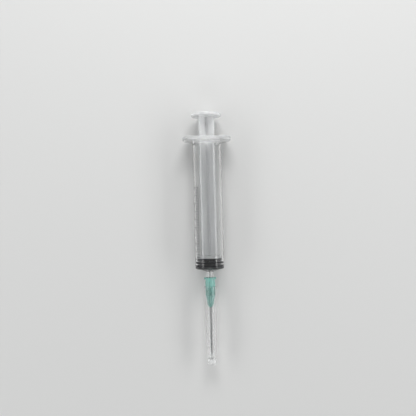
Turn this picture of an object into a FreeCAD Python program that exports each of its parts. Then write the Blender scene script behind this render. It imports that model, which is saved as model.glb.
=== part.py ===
import FreeCAD, Part
import math
import os

import Sketcher

# A 10 ml syringe with a slip needle and its cap, in millimetres.
# The pieces share one axis, which runs along X: the needle points to +X and the thumb rest to -X.
# The flange's wings spread along Y. The syringe lies with one flat edge of the flange on Z = 0.

sizes = {
    # Barrel
    "bore_diameter": 16.0,
    "barrel_wall": 1.0,
    "bore_length": 81.9,  # flange rear face to the end of the straight bore
    "bore_cone_length": 1.85,
    "front_wall": 1.2,  # between the bore's cone and the nozzle's root
    "front_cone_length": 1.8,
    "shoulder_radius": 0.6,
    "mouth_lead": 0.5,  # widening of the bore at its open end
    "mouth_lead_length": 1.2,
    "bead_height": 0.3,  # ring inside the mouth that keeps the rod in
    "bead_length": 1.6,
    "bead_setback": 3.2,
    # Finger flange
    "flange_span": 30.8,
    "flange_depth": 19.6,
    "flange_thickness": 2.2,
    "flange_corner_radius": 2.0,
    "flange_edge_radius": 0.5,
    "ridge_count": 4,
    "ridge_pitch": 1.25,
    "ridge_width": 0.5,
    "ridge_height": 0.3,
    "ridge_length": 8.0,
    "ridge_margin": 0.9,  # last ridge to the wing's end
    # Nozzle, a 6 % taper
    "nozzle_length": 10.0,
    "nozzle_tip_diameter": 4.0,
    "nozzle_taper": 0.06,  # change of diameter for each unit of length
    "nozzle_bore": 2.0,
    "nozzle_chamfer": 0.25,
    # Printed scale
    "scale_volume": 10.0,  # millilitres from the first line to the last
    "scale_step": 0.2,  # millilitres from one line to the next
    "scale_major_step": 1.0,
    "millilitre": 1000.0,  # in cubic millimetres
    "ink_thickness": 0.03,
    "line_width": 0.26,
    "line_start_angle": 41.0,  # from straight up, towards -Y
    "short_line_angle": 19.0,
    "long_line_angle": 33.0,
    # Plunger rod
    "thumb_diameter": 19.0,
    "thumb_thickness": 2.0,
    "thumb_edge_radius": 0.6,
    "thumb_groove_count": 3,
    "thumb_groove_pitch": 2.2,
    "thumb_groove_width": 0.8,
    "thumb_groove_depth": 0.35,
    "thumb_groove_margin": 1.45,  # outermost groove to the thumb rest's edge
    "rod_length": 91.85,  # thumb rest's rear face to the disc's front face
    "core_diameter": 2.6,
    "web_span": 13.2,
    "web_thickness": 1.1,
    "web_count": 4,
    "disc_diameter": 15.4,
    "disc_thickness": 1.8,
    "neck_diameter": 4.2,
    "neck_length": 1.3,
    "button_diameter": 6.8,
    "button_tip_diameter": 3.2,
    "button_rim": 0.5,
    "button_cone": 2.0,
    # Plunger seal
    "seal_length": 5.1,  # rear face to the front rib's edge
    "rear_rib_length": 1.2,
    "rear_rib_relief": 0.15,  # how far the rear rib stays inside the bore
    "rib_length": 1.2,
    "groove_depth": 0.95,
    "rib_edge_radius": 0.2,
    "seal_nose_diameter": 1.8,
    # Needle hub
    "hub_gap": 3.8,  # bare nozzle between barrel and hub
    "hub_length": 18.5,
    "hub_skirt_diameter": 5.8,
    "hub_waist_diameter": 5.2,
    "hub_skirt_length": 10.8,
    "hub_step_length": 0.5,
    "hub_nose_root": 3.8,
    "hub_nose_tip": 2.7,
    "socket_spare": 1.3,  # socket left free in front of the nozzle
    "lug_span": 7.6,
    "lug_width": 2.6,
    "lug_thickness": 1.2,
    "lug_count": 2,
    "hub_rib_span": 6.14,
    "hub_rib_thickness": 0.8,
    "hub_rib_setback": 2.2,
    "hub_rib_count": 4,
    "fin_end_span": 3.4,
    "fin_setback": 1.0,  # fins end this far behind the nose
    "well_diameter": 1.9,
    "well_depth": 1.5,
    # Needle tube and its adhesive
    "needle_diameter": 0.82,
    "needle_bore": 0.51,
    "needle_reach": 30.4,  # beyond the hub's nose
    "tube_inset": 0.4,  # from the socket's floor to the tube's rear end
    "bevel_angle": 12.0,
    "lancet_angle": 19.0,
    "lancet_turn": 34.0,
    "lancet_share": 0.55,  # of the bevel's length, from the point
    "adhesive_bulge": 0.55,
    "adhesive_tip_diameter": 1.1,
    # Needle cap
    "cap_seat": 5.8,  # hub left bare behind the cap
    "cap_tip_room": 2.2,  # needle's point to the end of the cap's cavity
    "cap_rim_diameter": 7.4,
    "cap_tip_diameter": 5.5,
    "cap_tip_radius": 2.1,
    "cap_rim_bead": 0.2,
    "cap_rim_length": 1.2,
    "cap_grip_length": 5.6,
    "cap_cavity_tip": 3.2,
    "cap_end_wall": 3.9,
    # Fits, each a gap on one side
    "seal_fit": 0.03,
    "nozzle_fit": 0.03,
    "cap_fit": 0.03,
    "socket_fit": 0.06,  # button in the seal
    "disc_gap": 0.05,
    "home_gap": 0.05,  # seal to barrel with the plunger pushed home
    "tube_fit": 0.02,
    "adhesive_fit": 0.01,
}
tolerance = 1e-4

doc = FreeCAD.newDocument("Syringe")
sheet = doc.addObject("Spreadsheet::Sheet", "Sizes")
for row, (alias, number) in enumerate(sizes.items(), start=1):
    sheet.set(f"A{row}", alias)
    sheet.set(f"B{row}", str(number))
    sheet.setAlias(f"B{row}", alias)
doc.recompute()


# A number with the sheet expression that gives it, so that both follow one formula.
class Measure:
    def __init__(self, value, text):
        self.value = value
        self.text = text

    def __add__(self, other):
        other = measure(other)
        return Measure(self.value + other.value, f"({self.text} + {other.text})")

    def __sub__(self, other):
        other = measure(other)
        return Measure(self.value - other.value, f"({self.text} - {other.text})")

    def __mul__(self, other):
        other = measure(other)
        return Measure(self.value * other.value, f"({self.text} * {other.text})")

    def __truediv__(self, other):
        other = measure(other)
        return Measure(self.value / other.value, f"({self.text} / {other.text})")

    def __neg__(self):
        return Measure(-self.value, f"(0 - {self.text})")


def measure(number):
    if isinstance(number, Measure):
        return number
    return Measure(float(number), str(number))


def tangent_of(degrees):
    return Measure(math.tan(math.radians(degrees.value)), f"tan({degrees.text})")


def square_root_of(number):
    return Measure(math.sqrt(number.value), f"sqrt({number.text})")


def size(alias):
    return Measure(float(sheet.get(alias)), f"Sizes.{alias}")


def half(alias):
    return size(alias) / 2


nothing = measure(0)

# Lengths that several pieces share
bore_radius = half("bore_diameter")
barrel_radius = bore_radius + size("barrel_wall")
barrel_length = size("bore_length") + size("bore_cone_length") + size("front_wall")
nozzle_tip_radius = half("nozzle_tip_diameter")
nozzle_slope = size("nozzle_taper") / 2
nozzle_root_radius = nozzle_tip_radius + nozzle_slope * size("nozzle_length")
bore_cone_slope = (bore_radius - half("nozzle_bore")) / size("bore_cone_length")
needle_radius = half("needle_diameter")
socket_depth = size("nozzle_length") - size("hub_gap") + size("socket_spare")
cap_cavity_length = size("hub_length") - size("cap_seat") + size("needle_reach") + size("cap_tip_room")
cap_length = cap_cavity_length + size("cap_end_wall")

# Where each piece starts along the axis, from the flange's rear face
seal_start = size("bore_length") - size("home_gap") - size("seal_length")
rod_start = seal_start - size("disc_gap") - size("rod_length")
hub_start = barrel_length + size("hub_gap")
cap_start = hub_start + size("cap_seat")
tube_start = hub_start + socket_depth + size("tube_inset")
well_start = hub_start + size("hub_length") - size("well_depth")
cap_end = cap_start + cap_length
middle = (rod_start + cap_end) / 2
axis_height = half("flange_depth")


def new_body(label, start):
    body = doc.addObject("PartDesign::Body", label)
    body.Label = label
    body.AllowCompound = True
    body.setExpression("Placement.Base.x", (start - middle).text)
    body.setExpression("Placement.Base.z", axis_height.text)
    return body


def origin_feature(body, role):
    return next(item for item in body.Origin.OriginFeatures if item.Role == role)


# A closed outline of straight sides. Each corner is a pair of measures from the sketch's origin.
def outline(body, name, plane, corners, lift=None, turn=None):
    sketch = body.newObject("Sketcher::SketchObject", name)
    sketch.AttachmentSupport = [(origin_feature(body, plane), "")]
    sketch.MapMode = "FlatFace"
    if lift is not None:
        sketch.setExpression("AttachmentOffset.Base.z", lift.text)
    if turn is not None:
        sketch.AttachmentOffset = turn
    spots = [FreeCAD.Vector(across.value, up.value, 0) for across, up in corners]
    for here, there in zip(spots, spots[1:] + spots[:1]):
        sketch.addGeometry(Part.LineSegment(here, there), False)
    for side in range(len(corners)):
        after = (side + 1) % len(corners)
        sketch.addConstraint(Sketcher.Constraint("Coincident", side, 2, after, 1))
    for side, (across, up) in enumerate(corners):
        place_corner(sketch, side, "DistanceX", across, -2)
        place_corner(sketch, side, "DistanceY", up, -1)
    return sketch


# Holds one corner at its distance, or on the sketch's axis where that distance is nothing.
def place_corner(sketch, side, kind, distance, axis):
    if distance is nothing:
        sketch.addConstraint(Sketcher.Constraint("PointOnObject", side, 1, axis))
        return
    index = sketch.addConstraint(Sketcher.Constraint(kind, -1, 1, side, 1, distance.value))
    sketch.setExpression(f"Constraints[{index}]", distance.text)


# A box-shaped outline between two corners
def rectangle(low_across, low_up, high_across, high_up):
    return [
        (low_across, low_up),
        (high_across, low_up),
        (high_across, high_up),
        (low_across, high_up),
    ]


def turned(body, name, corners):
    sketch = outline(body, name + "Outline", "XZ_Plane", corners)
    solid = body.newObject("PartDesign::Revolution", name)
    solid.Profile = sketch
    solid.ReferenceAxis = (sketch, ["H_Axis"])
    solid.Angle = 360
    doc.recompute()
    return solid


def padded(body, name, sketch, length, midplane=False):
    solid = body.newObject("PartDesign::Pad", name)
    solid.Profile = sketch
    solid.setExpression("Length", length.text)
    solid.Midplane = midplane
    doc.recompute()
    return solid


# Cuts through everything on both sides of the sketch, and makes sure that it took material away.
def cut_through(body, name, sketch):
    before = body.Shape.Volume
    cut = body.newObject("PartDesign::Pocket", name)
    cut.Profile = sketch
    cut.Type = "ThroughAll"
    cut.Midplane = True
    doc.recompute()
    if body.Shape.Volume >= before:
        raise RuntimeError(f"{name} cuts nothing")
    return cut


def around_axis(body, name, feature, count_alias):
    pattern = body.newObject("PartDesign::PolarPattern", name)
    pattern.Originals = [feature]
    pattern.Axis = (origin_feature(body, "X_Axis"), [""])
    pattern.Angle = 360
    pattern.setExpression("Occurrences", size(count_alias).text)
    body.Tip = pattern
    doc.recompute()
    return pattern


def in_a_row(body, name, feature, role, step, gaps, reverse=False):
    pattern = body.newObject("PartDesign::LinearPattern", name)
    pattern.Originals = [feature]
    pattern.Direction = (origin_feature(body, role), [""])
    pattern.Reversed = reverse
    pattern.setExpression("Length", (step * gaps).text)
    pattern.Occurrences = gaps + 1
    body.Tip = pattern
    doc.recompute()
    return pattern


# Rounds or bevels the edges of the last feature that a test picks.
def ease_edges(body, name, kind, amount, is_picked):
    base = body.Tip
    names = []
    for number, edge in enumerate(base.Shape.Edges, start=1):
        if is_picked(edge):
            names.append(f"Edge{number}")
    if not names:
        raise RuntimeError(f"{name} finds no edge")
    eased = body.newObject(kind, name)
    eased.Base = (base, names)
    eased.setExpression("Radius" if kind.endswith("Fillet") else "Size", amount.text)
    doc.recompute()
    return eased


def is_close(one, other):
    return abs(one - other) < tolerance


# A test for full circles round the axis, each given by its place along the axis and its radius
def rings(*places):
    def is_picked(edge):
        if not isinstance(edge.Curve, Part.Circle) or not edge.isClosed():
            return False
        centre = edge.Curve.Center
        if not is_close(centre.y, 0) or not is_close(centre.z, 0):
            return False
        return any(
            is_close(centre.x, along.value) and is_close(edge.Curve.Radius, radius.value)
            for along, radius in places
        )

    return is_picked


# A test for straight edges that run along the axis at the given height, above it or below it
def runs_at_height(height):
    def is_picked(edge):
        first, *others = [vertex.Point for vertex in edge.Vertexes]
        if not others or not isinstance(edge.Curve, Part.Line):
            return False
        along_axis = is_close(first.y, others[0].y) and is_close(first.z, others[0].z)
        return along_axis and is_close(abs(first.z), height.value)

    return is_picked


# A test for the open edges that lie on one of the given faces across the axis
def rims_on(*places):
    def is_picked(edge):
        spots = [vertex.Point.x for vertex in edge.Vertexes]
        if len(spots) < 2:
            return False
        return any(all(is_close(spot, along.value) for spot in spots) for along in places)

    return is_picked


# Clear barrel: tube, flange, front cone and hollow nozzle in one moulding
def make_barrel():
    body = new_body("barrel", nothing)
    flange_radius = half("flange_span")
    mouth_radius = bore_radius + size("mouth_lead")
    bead_top = bore_radius - size("bead_height")
    bead_end = size("bead_setback") + size("bead_length")
    bead_middle = size("bead_setback") + half("bead_length")
    shoulder = barrel_length - size("front_cone_length")
    nozzle_end = barrel_length + size("nozzle_length")
    nozzle_bore_radius = half("nozzle_bore")
    turned(body, "BarrelWall", [
        (nothing, mouth_radius),
        (nothing, flange_radius),
        (size("flange_thickness"), flange_radius),
        (size("flange_thickness"), barrel_radius),
        (shoulder, barrel_radius),
        (barrel_length, nozzle_root_radius),
        (nozzle_end, nozzle_tip_radius),
        (nozzle_end, nozzle_bore_radius),
        (size("bore_length") + size("bore_cone_length"), nozzle_bore_radius),
        (size("bore_length"), bore_radius),
        (bead_end, bore_radius),
        (bead_middle, bead_top),
        (size("bead_setback"), bore_radius),
        (size("mouth_lead_length"), bore_radius),
    ])
    shoulder_round = rings((shoulder, barrel_radius), (size("flange_thickness"), barrel_radius))
    ease_edges(body, "ShoulderRound", "PartDesign::Fillet", size("shoulder_radius"), shoulder_round)
    nozzle_rim = rings((nozzle_end, nozzle_tip_radius))
    ease_edges(body, "NozzleBevel", "PartDesign::Chamfer", size("nozzle_chamfer"), nozzle_rim)
    # The flange's two long sides are flat, and meet its round ends in soft corners.
    for side, direction in (("Upper", 1), ("Lower", -1)):
        near = axis_height * direction
        far = flange_radius * 1.1 * direction
        edges = rectangle(-flange_radius, near, size("flange_thickness") * 2, far)
        cut_through(body, f"{side}Flat", outline(body, f"{side}FlatOutline", "XZ_Plane", edges))
    corners = runs_at_height(axis_height)
    ease_edges(body, "FlangeCorners", "PartDesign::Fillet", size("flange_corner_radius"), corners)
    rims = rims_on(nothing, size("flange_thickness"))
    ease_edges(body, "FlangeRound", "PartDesign::Fillet", size("flange_edge_radius"), rims)
    # Grip ridges on the front of both wings
    step = size("ridge_pitch")
    gaps = int(size("ridge_count").value) - 1
    outer = flange_radius - size("ridge_margin")
    half_length = half("ridge_length")
    for side, direction in (("Left", 1), ("Right", -1)):
        far = outer * direction
        near = (outer - size("ridge_width")) * direction
        corners = rectangle(near, -half_length, far, half_length)
        lift = size("flange_thickness")
        sketch = outline(body, f"{side}RidgeOutline", "YZ_Plane", corners, lift=lift)
        ridge = padded(body, f"{side}Ridge", sketch, size("ridge_height"))
        in_a_row(body, f"{side}Ridges", ridge, "Y_Axis", step, gaps, reverse=direction > 0)
    return body


# Graduation lines as thin curved bars of ink on the barrel's outside
def make_scale_print():
    body = new_body("scale_print", nothing)
    bore_area = bore_radius * bore_radius * math.pi
    one_millilitre = size("millilitre") / bore_area
    zero_line = seal_start + size("seal_length")
    half_width = half("line_width")
    outside = barrel_radius + size("ink_thickness")
    corners = rectangle(zero_line - half_width, barrel_radius, zero_line + half_width, outside)
    for name, step, sweep in (
        ("Short", size("scale_step"), size("short_line_angle")),
        ("Long", size("scale_major_step"), size("long_line_angle")),
    ):
        start = FreeCAD.Rotation(FreeCAD.Vector(1, 0, 0), size("line_start_angle").value)
        turn = FreeCAD.Placement(FreeCAD.Vector(), start)
        sketch = outline(body, f"{name}LineOutline", "XZ_Plane", corners, turn=turn)
        sketch.setExpression("AttachmentOffset.Rotation.Angle", size("line_start_angle").text)
        line = body.newObject("PartDesign::Revolution", f"{name}Line")
        line.Profile = sketch
        line.ReferenceAxis = (sketch, ["H_Axis"])
        line.setExpression("Angle", sweep.text)
        doc.recompute()
        gaps = round((size("scale_volume") / step).value)
        in_a_row(body, f"{name}Lines", line, "X_Axis", one_millilitre * step, gaps, reverse=True)
    return body


# Plunger rod: thumb rest, four webs round a core, disc, and the button that the seal snaps over
def make_plunger_rod():
    body = new_body("plunger_rod", rod_start)
    thumb_radius = half("thumb_diameter")
    core_radius = half("core_diameter")
    disc_start = size("rod_length") - size("disc_thickness")
    neck_end = size("rod_length") + size("neck_length")
    rim_end = neck_end + size("button_rim")
    button_end = rim_end + size("button_cone")
    grooves = []
    for ring in range(int(size("thumb_groove_count").value)):
        outer = thumb_radius - size("thumb_groove_margin") - size("thumb_groove_pitch") * ring
        inner = outer - size("thumb_groove_width")
        depth = size("thumb_groove_depth")
        grooves = [(nothing, inner), (depth, inner), (depth, outer), (nothing, outer)] + grooves
    turned(body, "RodCore", [
        (nothing, nothing),
        *grooves,
        (nothing, thumb_radius),
        (size("thumb_thickness"), thumb_radius),
        (size("thumb_thickness"), core_radius),
        (disc_start, core_radius),
        (disc_start, half("disc_diameter")),
        (size("rod_length"), half("disc_diameter")),
        (size("rod_length"), half("neck_diameter")),
        (neck_end, half("neck_diameter")),
        (neck_end, half("button_diameter")),
        (rim_end, half("button_diameter")),
        (button_end, half("button_tip_diameter")),
        (button_end, nothing),
    ])
    thumb_rim = rings((nothing, thumb_radius), (size("thumb_thickness"), thumb_radius))
    ease_edges(body, "ThumbRound", "PartDesign::Fillet", size("thumb_edge_radius"), thumb_rim)
    half_web = half("web_thickness")
    web_start = size("thumb_thickness") / 2
    web_length = disc_start + size("disc_thickness") / 2 - web_start
    half_step = FreeCAD.Rotation(FreeCAD.Vector(0, 0, 1), 180 / size("web_count").value)
    turn = FreeCAD.Placement(FreeCAD.Vector(), half_step)
    corners = rectangle(nothing, -half_web, half("web_span"), half_web)
    sketch = outline(body, "WebOutline", "YZ_Plane", corners, turn=turn)
    sketch.setExpression("AttachmentOffset.Base.z", web_start.text)
    web = padded(body, "Web", sketch, web_length)
    around_axis(body, "Webs", web, "web_count")
    return body


# Rubber seal: three ribs, two grooves, a cone in front and a socket behind
def make_plunger_seal():
    body = new_body("plunger_seal", seal_start)
    rib_radius = bore_radius - size("seal_fit")
    rear_rib_radius = bore_radius - size("rear_rib_relief")
    groove_radius = bore_radius - size("groove_depth")
    rear_rib_end = size("rear_rib_length")
    front_rib_start = size("seal_length") - size("rib_length")
    groove_length = (front_rib_start - rear_rib_end - size("rib_length")) / 2
    rib_start = rear_rib_end + groove_length
    rib_end = rib_start + size("rib_length")
    nose_radius = half("seal_nose_diameter")
    nose_end = size("seal_length") + (rib_radius - nose_radius) / bore_cone_slope
    fit = size("socket_fit")
    socket_neck_radius = half("neck_diameter") + fit
    socket_wide_radius = half("button_diameter") + fit
    socket_tip_radius = half("button_tip_diameter") + fit
    socket_step = size("neck_length") - size("disc_gap") - fit
    socket_rim_end = socket_step + size("button_rim") + fit * 2
    socket_end = socket_rim_end + size("button_cone")
    turned(body, "SealRubber", [
        (nothing, socket_neck_radius),
        (nothing, rear_rib_radius),
        (rear_rib_end, rear_rib_radius),
        (rear_rib_end, groove_radius),
        (rib_start, groove_radius),
        (rib_start, rib_radius),
        (rib_end, rib_radius),
        (rib_end, groove_radius),
        (front_rib_start, groove_radius),
        (front_rib_start, rib_radius),
        (size("seal_length"), rib_radius),
        (nose_end, nose_radius),
        (nose_end, nothing),
        (socket_end, nothing),
        (socket_end, socket_tip_radius),
        (socket_rim_end, socket_wide_radius),
        (socket_step, socket_wide_radius),
        (socket_step, socket_neck_radius),
    ])
    rib_rims = rings(
        (nothing, rear_rib_radius),
        (rear_rib_end, rear_rib_radius),
        (rib_start, rib_radius),
        (rib_end, rib_radius),
        (front_rib_start, rib_radius),
    )
    ease_edges(body, "RibRound", "PartDesign::Fillet", size("rib_edge_radius"), rib_rims)
    return body


# Coloured hub: tapered socket, two lugs, four ribs with fins, and a well for the adhesive
def make_needle_hub():
    body = new_body("needle_hub", hub_start)
    socket_mouth = nozzle_root_radius - nozzle_slope * size("hub_gap") + size("nozzle_fit")
    socket_floor = socket_mouth - nozzle_slope * socket_depth
    tube_hole = needle_radius + size("tube_fit")
    step_end = size("hub_skirt_length") + size("hub_step_length")
    well_floor = size("hub_length") - size("well_depth")
    turned(body, "HubWall", [
        (nothing, socket_mouth),
        (nothing, half("hub_skirt_diameter")),
        (size("hub_skirt_length"), half("hub_waist_diameter")),
        (step_end, half("hub_nose_root")),
        (size("hub_length"), half("hub_nose_tip")),
        (size("hub_length"), half("well_diameter")),
        (well_floor, half("well_diameter")),
        (well_floor, tube_hole),
        (socket_depth, tube_hole),
        (socket_depth, socket_floor),
    ])
    half_width = half("lug_width")
    # Each lug is rooted halfway into the skirt's wall.
    lug_root = (socket_mouth + half("hub_skirt_diameter")) / 2
    lug_tip = half("lug_span")
    lug_corners = rectangle(lug_root, -half_width, lug_tip, half_width)
    lug = padded(body, "Lug", outline(body, "LugOutline", "YZ_Plane", lug_corners), size("lug_thickness"))
    around_axis(body, "Lugs", lug, "lug_count")
    rib_top = half("hub_rib_span")
    fin_end = size("hub_length") - size("fin_setback")
    rib_root = (socket_mouth + half("hub_waist_diameter")) / 2
    fin_root = half("well_diameter") + size("tube_fit")
    rib_corners = [
        (size("hub_rib_setback"), rib_root),
        (size("hub_rib_setback"), rib_top),
        (size("hub_skirt_length"), rib_top),
        (fin_end, half("fin_end_span")),
        (fin_end, fin_root),
        (step_end, fin_root),
        (size("hub_skirt_length"), rib_root),
    ]
    sketch = outline(body, "HubRibOutline", "XZ_Plane", rib_corners)
    rib = padded(body, "HubRib", sketch, size("hub_rib_thickness"), midplane=True)
    around_axis(body, "HubRibs", rib, "hub_rib_count")
    return body


# Set resin that holds the tube in the hub's nose
def make_hub_adhesive():
    body = new_body("hub_adhesive", well_start)
    inner = needle_radius + size("adhesive_fit")
    outer = half("well_diameter") - size("adhesive_fit")
    turned(body, "Resin", [
        (nothing, inner),
        (nothing, outer),
        (size("well_depth"), outer),
        (size("well_depth") + size("adhesive_bulge"), half("adhesive_tip_diameter")),
        (size("well_depth") + size("adhesive_bulge"), inner),
    ])
    return body


# Steel tube with a three-plane point that faces up
def make_needle_tube():
    body = new_body("needle_tube", tube_start)
    tube_length = size("hub_length") - socket_depth - size("tube_inset") + size("needle_reach")
    corners = rectangle(nothing, half("needle_bore"), tube_length, needle_radius)
    turned(body, "TubeWall", corners)
    bevel_length = size("needle_diameter") / tangent_of(size("bevel_angle"))
    beyond = tube_length + needle_radius
    below = -needle_radius * 2
    # The main bevel starts at the top and leaves the point at the bottom.
    main = [
        (tube_length - bevel_length, needle_radius),
        (beyond, needle_radius),
        (beyond, below),
        (tube_length, -needle_radius),
    ]
    cut_through(body, "MainBevel", outline(body, "MainBevelOutline", "XZ_Plane", main))
    # Two steeper side bevels sharpen the last part.
    reach = bevel_length * size("lancet_share")
    height = reach * tangent_of(size("lancet_angle"))
    side = [
        (tube_length - reach, height - needle_radius),
        (beyond, height - needle_radius),
        (beyond, below),
        (tube_length, -needle_radius),
    ]
    for name, sign in (("Left", 1), ("Right", -1)):
        angle = size("lancet_turn").value * sign
        turn = FreeCAD.Placement(
            FreeCAD.Vector(), FreeCAD.Rotation(FreeCAD.Vector(1, 0, 0), angle)
        )
        sketch = outline(body, f"{name}LancetOutline", "XZ_Plane", side, turn=turn)
        cut_through(body, f"{name}Lancet", sketch)
    return body


# Clear needle cap, closed at the front, which grips the hub's ribs
def make_needle_cap():
    body = new_body("needle_cap", cap_start)
    rim_radius = half("cap_rim_diameter")
    tip_radius = half("cap_tip_diameter")
    body_radius = rim_radius - size("cap_rim_bead")
    half_rib = half("hub_rib_thickness")
    rib_corner = square_root_of(half("hub_rib_span") * half("hub_rib_span") + half_rib * half_rib)
    grip_radius = rib_corner + size("cap_fit")
    turned(body, "CapWall", [
        (nothing, grip_radius),
        (nothing, rim_radius),
        (size("cap_rim_length"), rim_radius),
        (size("cap_rim_length"), body_radius),
        (cap_length, tip_radius),
        (cap_length, nothing),
        (cap_cavity_length, nothing),
        (cap_cavity_length, half("cap_cavity_tip")),
        (size("cap_grip_length"), grip_radius),
    ])
    tip_rim = rings((cap_length, tip_radius))
    ease_edges(body, "CapRound", "PartDesign::Fillet", size("cap_tip_radius"), tip_rim)
    return body


pieces = [
    make_barrel(),
    make_scale_print(),
    make_plunger_rod(),
    make_plunger_seal(),
    make_needle_hub(),
    make_hub_adhesive(),
    make_needle_tube(),
    make_needle_cap(),
]
doc.recompute()

for item in doc.Objects:
    if "Invalid" in item.State or "Error" in item.State:
        raise RuntimeError(f"{item.Name} failed: {item.State}")
for piece in pieces:
    if piece.Shape.isNull() or not piece.Shape.isValid():
        raise RuntimeError(f"{piece.Label} has no valid shape")

os.makedirs("parts", exist_ok=True)
for piece in pieces:
    piece.Shape.exportStep(f"parts/{piece.Label}.step")
    box = piece.Shape.BoundBox
    print(
        f"{piece.Label}: {len(piece.Shape.Solids)} solids, {piece.Shape.Volume:.2f} mm3,"
        f" x {box.XMin:.2f} to {box.XMax:.2f}, z {box.ZMin:.2f} to {box.ZMax:.2f}"
    )
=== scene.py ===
import math

import bmesh
import bpy
from mathutils import Matrix, Vector


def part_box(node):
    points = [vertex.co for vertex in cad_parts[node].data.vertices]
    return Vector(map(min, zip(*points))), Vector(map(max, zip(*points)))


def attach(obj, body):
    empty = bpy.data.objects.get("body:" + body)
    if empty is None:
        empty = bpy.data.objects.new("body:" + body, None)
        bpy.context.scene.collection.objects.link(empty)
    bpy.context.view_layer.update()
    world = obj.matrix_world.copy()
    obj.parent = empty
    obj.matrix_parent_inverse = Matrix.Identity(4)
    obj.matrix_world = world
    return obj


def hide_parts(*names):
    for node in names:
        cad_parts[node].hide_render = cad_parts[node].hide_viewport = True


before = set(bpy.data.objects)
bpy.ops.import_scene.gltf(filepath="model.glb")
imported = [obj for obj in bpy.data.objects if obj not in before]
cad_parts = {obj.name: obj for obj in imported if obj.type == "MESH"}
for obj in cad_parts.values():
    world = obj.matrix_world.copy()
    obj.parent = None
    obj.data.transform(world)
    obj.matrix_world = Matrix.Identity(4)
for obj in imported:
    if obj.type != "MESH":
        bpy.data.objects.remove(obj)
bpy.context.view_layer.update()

# A disposable syringe lying on its flange. The needle points to +X, the thumb rest to -X.
# Lengths in the dictionaries are millimetres, and mm turns them into Blender's metres. Those whose
# name ends in Rounding or Edge are the radii of rounded corners.
mm = 0.001
weld = 0.001 * mm  # corners nearer than this become one
near = 0.01 * mm  # places nearer than this count as the same

# Every piece starts at its node's rear end, and they all lie on one axis.
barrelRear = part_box("barrel")[0].x
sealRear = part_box("plunger_seal")[0].x
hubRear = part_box("needle_hub")[0].x
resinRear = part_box("hub_adhesive")[0].x
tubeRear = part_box("needle_tube")[0].x
capRear, capFront = [corner.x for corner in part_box("needle_cap")]
rodLow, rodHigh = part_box("plunger_rod")
axisHeight = (rodLow.z + rodHigh.z) / 2


# Working helpers

def pick(piece):
    if bpy.context.object and bpy.context.object.mode != "OBJECT":
        bpy.ops.object.mode_set(mode="OBJECT")
    bpy.ops.object.select_all(action="DESELECT")
    if piece:
        piece.select_set(True)
        bpy.context.view_layer.objects.active = piece


def editAll(piece):
    pick(piece)
    bpy.ops.object.mode_set(mode="EDIT")
    bpy.ops.mesh.select_mode(type="VERT")
    bpy.ops.mesh.select_all(action="SELECT")


def leaveEdit():
    bpy.ops.object.mode_set(mode="OBJECT")


# Corners are (along, out) or (along, out, rounding) in millimetres; each rounding becomes an arc.
def roundCorners(corners, arcSteps=5):
    points = []
    for index, corner in enumerate(corners):
        here = Vector(corner[:2])
        if len(corner) == 2:
            points.append(here)
            continue
        toBack = (Vector(corners[index - 1][:2]) - here).normalized()
        toFront = (Vector(corners[(index + 1) % len(corners)][:2]) - here).normalized()
        opening = toBack.angle(toFront)
        reach = corner[2] / math.tan(opening / 2)
        centre = here + (toBack + toFront).normalized() * corner[2] / math.sin(opening / 2)
        start = (here + toBack * reach - centre).normalized()
        end = (here + toFront * reach - centre).normalized()
        for step in range(arcSteps + 1):
            points.append(centre + start.slerp(end, step / arcSteps) * corner[2])
    return points


# Draws a line of edges through points in space, by extruding one corner from each to the next.
def traceLine(name, points, isClosed):
    pick(None)
    bpy.ops.mesh.primitive_plane_add(size=mm, location=points[0])
    piece = bpy.context.object
    piece.name = name
    bpy.ops.object.transform_apply(location=True, rotation=True, scale=True)
    editAll(piece)
    bpy.ops.mesh.merge(type="CENTER")
    stops = points[1:] + points[:1] if isClosed else points[1:]
    for here, there in zip(points, stops):
        bpy.ops.mesh.extrude_region_move(TRANSFORM_OT_translate={"value": there - here})
    bpy.ops.mesh.select_all(action="SELECT")
    bpy.ops.mesh.remove_doubles(threshold=weld)
    return piece


# Turns an outline round the syringe's axis. An open outline starts and ends on the axis.
def spinOutline(name, startX, corners, isClosed=False, steps=128, arcSteps=5):
    outline = [
        Vector((startX + point.x * mm, 0, axisHeight + point.y * mm))
        for point in roundCorners(corners, arcSteps)
    ]
    piece = traceLine(name, outline, isClosed)
    bpy.ops.mesh.select_all(action="SELECT")
    centre = (startX, 0, axisHeight)
    bpy.ops.mesh.spin(steps=steps, angle=math.tau, center=centre, axis=(1, 0, 0))
    bpy.ops.mesh.select_all(action="SELECT")
    bpy.ops.mesh.remove_doubles(threshold=weld)
    bpy.ops.mesh.normals_make_consistent(inside=False)
    leaveEdit()
    return piece


# Fills a traced outline and pulls it out into a plate.
def pullPlate(name, points, pull):
    piece = traceLine(name, points, True)
    bpy.ops.mesh.select_all(action="SELECT")
    bpy.ops.mesh.edge_face_add()
    bpy.ops.mesh.extrude_region_move(TRANSFORM_OT_translate={"value": pull})
    bpy.ops.mesh.select_all(action="SELECT")
    bpy.ops.mesh.normals_make_consistent(inside=False)
    leaveEdit()
    return piece


def selectEdges(piece, isPicked):
    editAll(piece)
    bpy.ops.mesh.select_all(action="DESELECT")
    bpy.ops.mesh.select_mode(type="EDGE")
    mesh = bmesh.from_edit_mesh(piece.data)
    for edge in mesh.edges:
        if isPicked(edge.verts[0].co, edge.verts[1].co):
            edge.select_set(True)
    bmesh.update_edit_mesh(piece.data)


def softenEdges(piece, width, isPicked, segments=3):
    selectEdges(piece, isPicked)
    bpy.ops.mesh.bevel(offset=width, segments=segments, affect="EDGES", clamp_overlap=True)
    leaveEdit()


def turnAboutAxis(piece, degrees):
    editAll(piece)
    centre = (0, 0, axisHeight)
    bpy.ops.transform.rotate(value=math.radians(degrees), orient_axis="X", center_override=centre)
    leaveEdit()


def copyOf(piece, name):
    other = piece.copy()
    other.data = piece.data.copy()
    other.name = name
    bpy.context.scene.collection.objects.link(other)
    return other


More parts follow.
